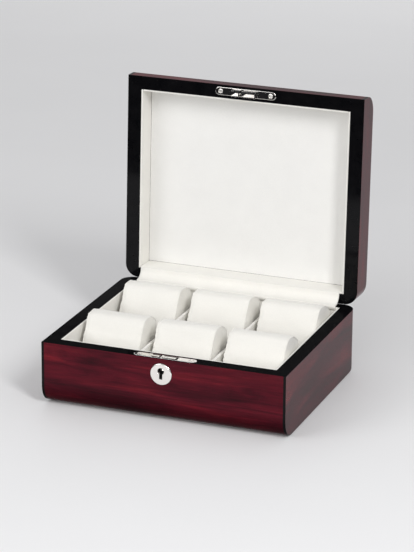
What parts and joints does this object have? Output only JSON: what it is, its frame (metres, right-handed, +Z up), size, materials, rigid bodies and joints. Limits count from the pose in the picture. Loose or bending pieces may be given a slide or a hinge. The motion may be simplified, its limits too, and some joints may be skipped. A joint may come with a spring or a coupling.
{
  "type": "watch box",
  "caption": "Rectangular wooden watch box with a hinged lid, cushioned compartments, cloth hinge strip and a keyed lid lock.",
  "frame": {"origin": "centre of the base's outline on the surface that the box stands on", "axes": "+Z up, +X to the right seen from the front, -Y the front with the lock, lid open at rest"},
  "size_m": [0.26, 0.2603, 0.2878],
  "materials": {
    "veneered_wood": "high-gloss rosewood veneer with black lacquered rims",
    "cream_suede": "cream suede cloth",
    "polished_nickel": "polished nickel plate",
    "plated_steel": "plain plated steel",
    "black_felt": "black felt"
  },
  "bodies": {
    "base": {"base_bottom_board": "veneered_wood", "base_felt": "black_felt", "base_front_board": "veneered_wood", "base_left_end": "veneered_wood", "base_liner_floor": "cream_suede", "base_liner_front": "cream_suede", "base_liner_left": "cream_suede", "base_liner_rear": "cream_suede", "base_liner_right": "cream_suede", "base_rear_board": "veneered_wood", "base_right_end": "veneered_wood", "column_divider_left": "cream_suede", "column_divider_right": "cream_suede", "escutcheon": "polished_nickel", "hinge_base_leaf_left": "plated_steel", "hinge_base_leaf_right": "plated_steel", "hinge_base_screw_1": "plated_steel", "hinge_base_screw_2": "plated_steel", "hinge_base_screw_3": "plated_steel", "hinge_base_screw_4": "plated_steel", "hinge_cloth": "cream_suede", "hinge_pin_left": "plated_steel", "hinge_pin_right": "plated_steel", "lock_case": "plated_steel", "lock_key_post": "polished_nickel", "lock_plate": "polished_nickel", "lock_plate_screw_1": "polished_nickel", "lock_plate_screw_2": "polished_nickel", "row_divider": "cream_suede"},
    "lid": {"hinge_lid_leaf_left": "plated_steel", "hinge_lid_leaf_right": "plated_steel", "hinge_lid_screw_1": "plated_steel", "hinge_lid_screw_2": "plated_steel", "hinge_lid_screw_3": "plated_steel", "hinge_lid_screw_4": "plated_steel", "lid_front_board": "veneered_wood", "lid_left_end": "veneered_wood", "lid_liner_front": "cream_suede", "lid_liner_left": "cream_suede", "lid_liner_rear": "cream_suede", "lid_liner_right": "cream_suede", "lid_panel_pad": "cream_suede", "lid_rear_board": "veneered_wood", "lid_right_end": "veneered_wood", "lid_top_board": "veneered_wood", "strike_plate": "polished_nickel", "strike_plate_screw_1": "polished_nickel", "strike_plate_screw_2": "polished_nickel"},
    "bolt": {"lock_bolt": "plated_steel"},
    "cushion_front_left": {"cushion_front_left": "cream_suede"},
    "cushion_front_middle": {"cushion_front_middle": "cream_suede"},
    "cushion_front_right": {"cushion_front_right": "cream_suede"},
    "cushion_rear_left": {"cushion_rear_left": "cream_suede"},
    "cushion_rear_middle": {"cushion_rear_middle": "cream_suede"},
    "cushion_rear_right": {"cushion_rear_right": "cream_suede"}
  },
  "joints": [
    {"name": "lid_hinge", "type": "hinge", "parent": "base", "child": "lid", "pos_m": [0, 0.11, 0.068], "axis": [-1, 0, 0], "range_deg": [-92.36, 0], "deforming": ["hinge_cloth"]},
    {"name": "bolt_slide", "type": "slide", "parent": "base", "child": "bolt", "axis": [1, 0, 0], "range_m": [0, 0.002]},
    {"name": "cushion_front_left_lift", "type": "slide", "parent": "base", "child": "cushion_front_left", "axis": [0, 0, 1], "range_m": [0, 0.08]},
    {"name": "cushion_front_middle_lift", "type": "slide", "parent": "base", "child": "cushion_front_middle", "axis": [0, 0, 1], "range_m": [0, 0.08]},
    {"name": "cushion_front_right_lift", "type": "slide", "parent": "base", "child": "cushion_front_right", "axis": [0, 0, 1], "range_m": [0, 0.08]},
    {"name": "cushion_rear_left_lift", "type": "slide", "parent": "base", "child": "cushion_rear_left", "axis": [0, 0, 1], "range_m": [0, 0.08]},
    {"name": "cushion_rear_middle_lift", "type": "slide", "parent": "base", "child": "cushion_rear_middle", "axis": [0, 0, 1], "range_m": [0, 0.08]},
    {"name": "cushion_rear_right_lift", "type": "slide", "parent": "base", "child": "cushion_rear_right", "axis": [0, 0, 1], "range_m": [0, 0.08]}
  ]
}
